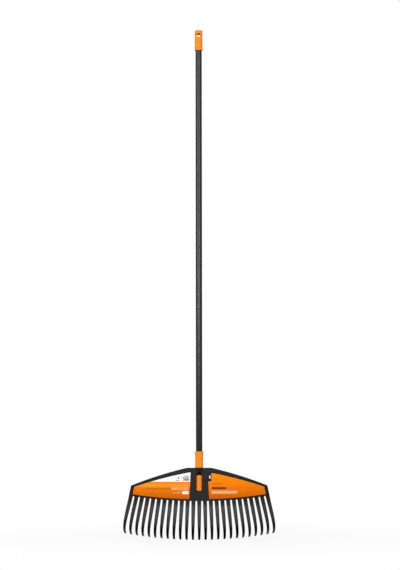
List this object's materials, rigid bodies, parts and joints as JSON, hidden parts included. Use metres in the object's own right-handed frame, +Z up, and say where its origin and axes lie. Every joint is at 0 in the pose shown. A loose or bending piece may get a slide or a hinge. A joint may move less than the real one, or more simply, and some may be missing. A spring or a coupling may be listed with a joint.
{
  "type": "leaf rake",
  "caption": "Garden leaf rake: a long straight round handle with a hanging cap, and a dished fan-shaped plastic head with hooked flat tines and orange label panels.",
  "frame": {"origin": "on the ground plane of the tine tips, under the middle of the rake's width and depth; the handle's axis stands parallel to +Z, ahead of the origin", "axes": "+Z up along the handle from the tines to the hanging cap, +X across the head, +Y towards the back, where the tines hook; the dished face looks along -Y"},
  "size_m": [0.5248, 0.0783, 1.77],
  "materials": {
    "coated_shaft": "black powder coat, satin",
    "orange_plastic": "satin injection moulding",
    "head_plastic": "fine-grained fibre-reinforced nylon",
    "label_print": "printed film, satin"
  },
  "bodies": {
    "root": {"collar_adapter": "orange_plastic", "grip_cap": "orange_plastic", "head_panel": "head_plastic", "label_left": "label_print", "label_right": "label_print", "shaft_tube": "coated_shaft", "tine_01": "head_plastic", "tine_02": "head_plastic", "tine_03": "head_plastic", "tine_04": "head_plastic", "tine_05": "head_plastic", "tine_06": "head_plastic", "tine_07": "head_plastic", "tine_08": "head_plastic", "tine_09": "head_plastic", "tine_10": "head_plastic", "tine_11": "head_plastic", "tine_12": "head_plastic", "tine_13": "head_plastic", "tine_14": "head_plastic", "tine_15": "head_plastic", "tine_16": "head_plastic", "tine_17": "head_plastic", "tine_18": "head_plastic", "tine_19": "head_plastic", "tine_20": "head_plastic", "tine_21": "head_plastic", "tine_22": "head_plastic", "tine_23": "head_plastic", "tine_24": "head_plastic", "tine_25": "head_plastic"}
  },
  "joints": []
}
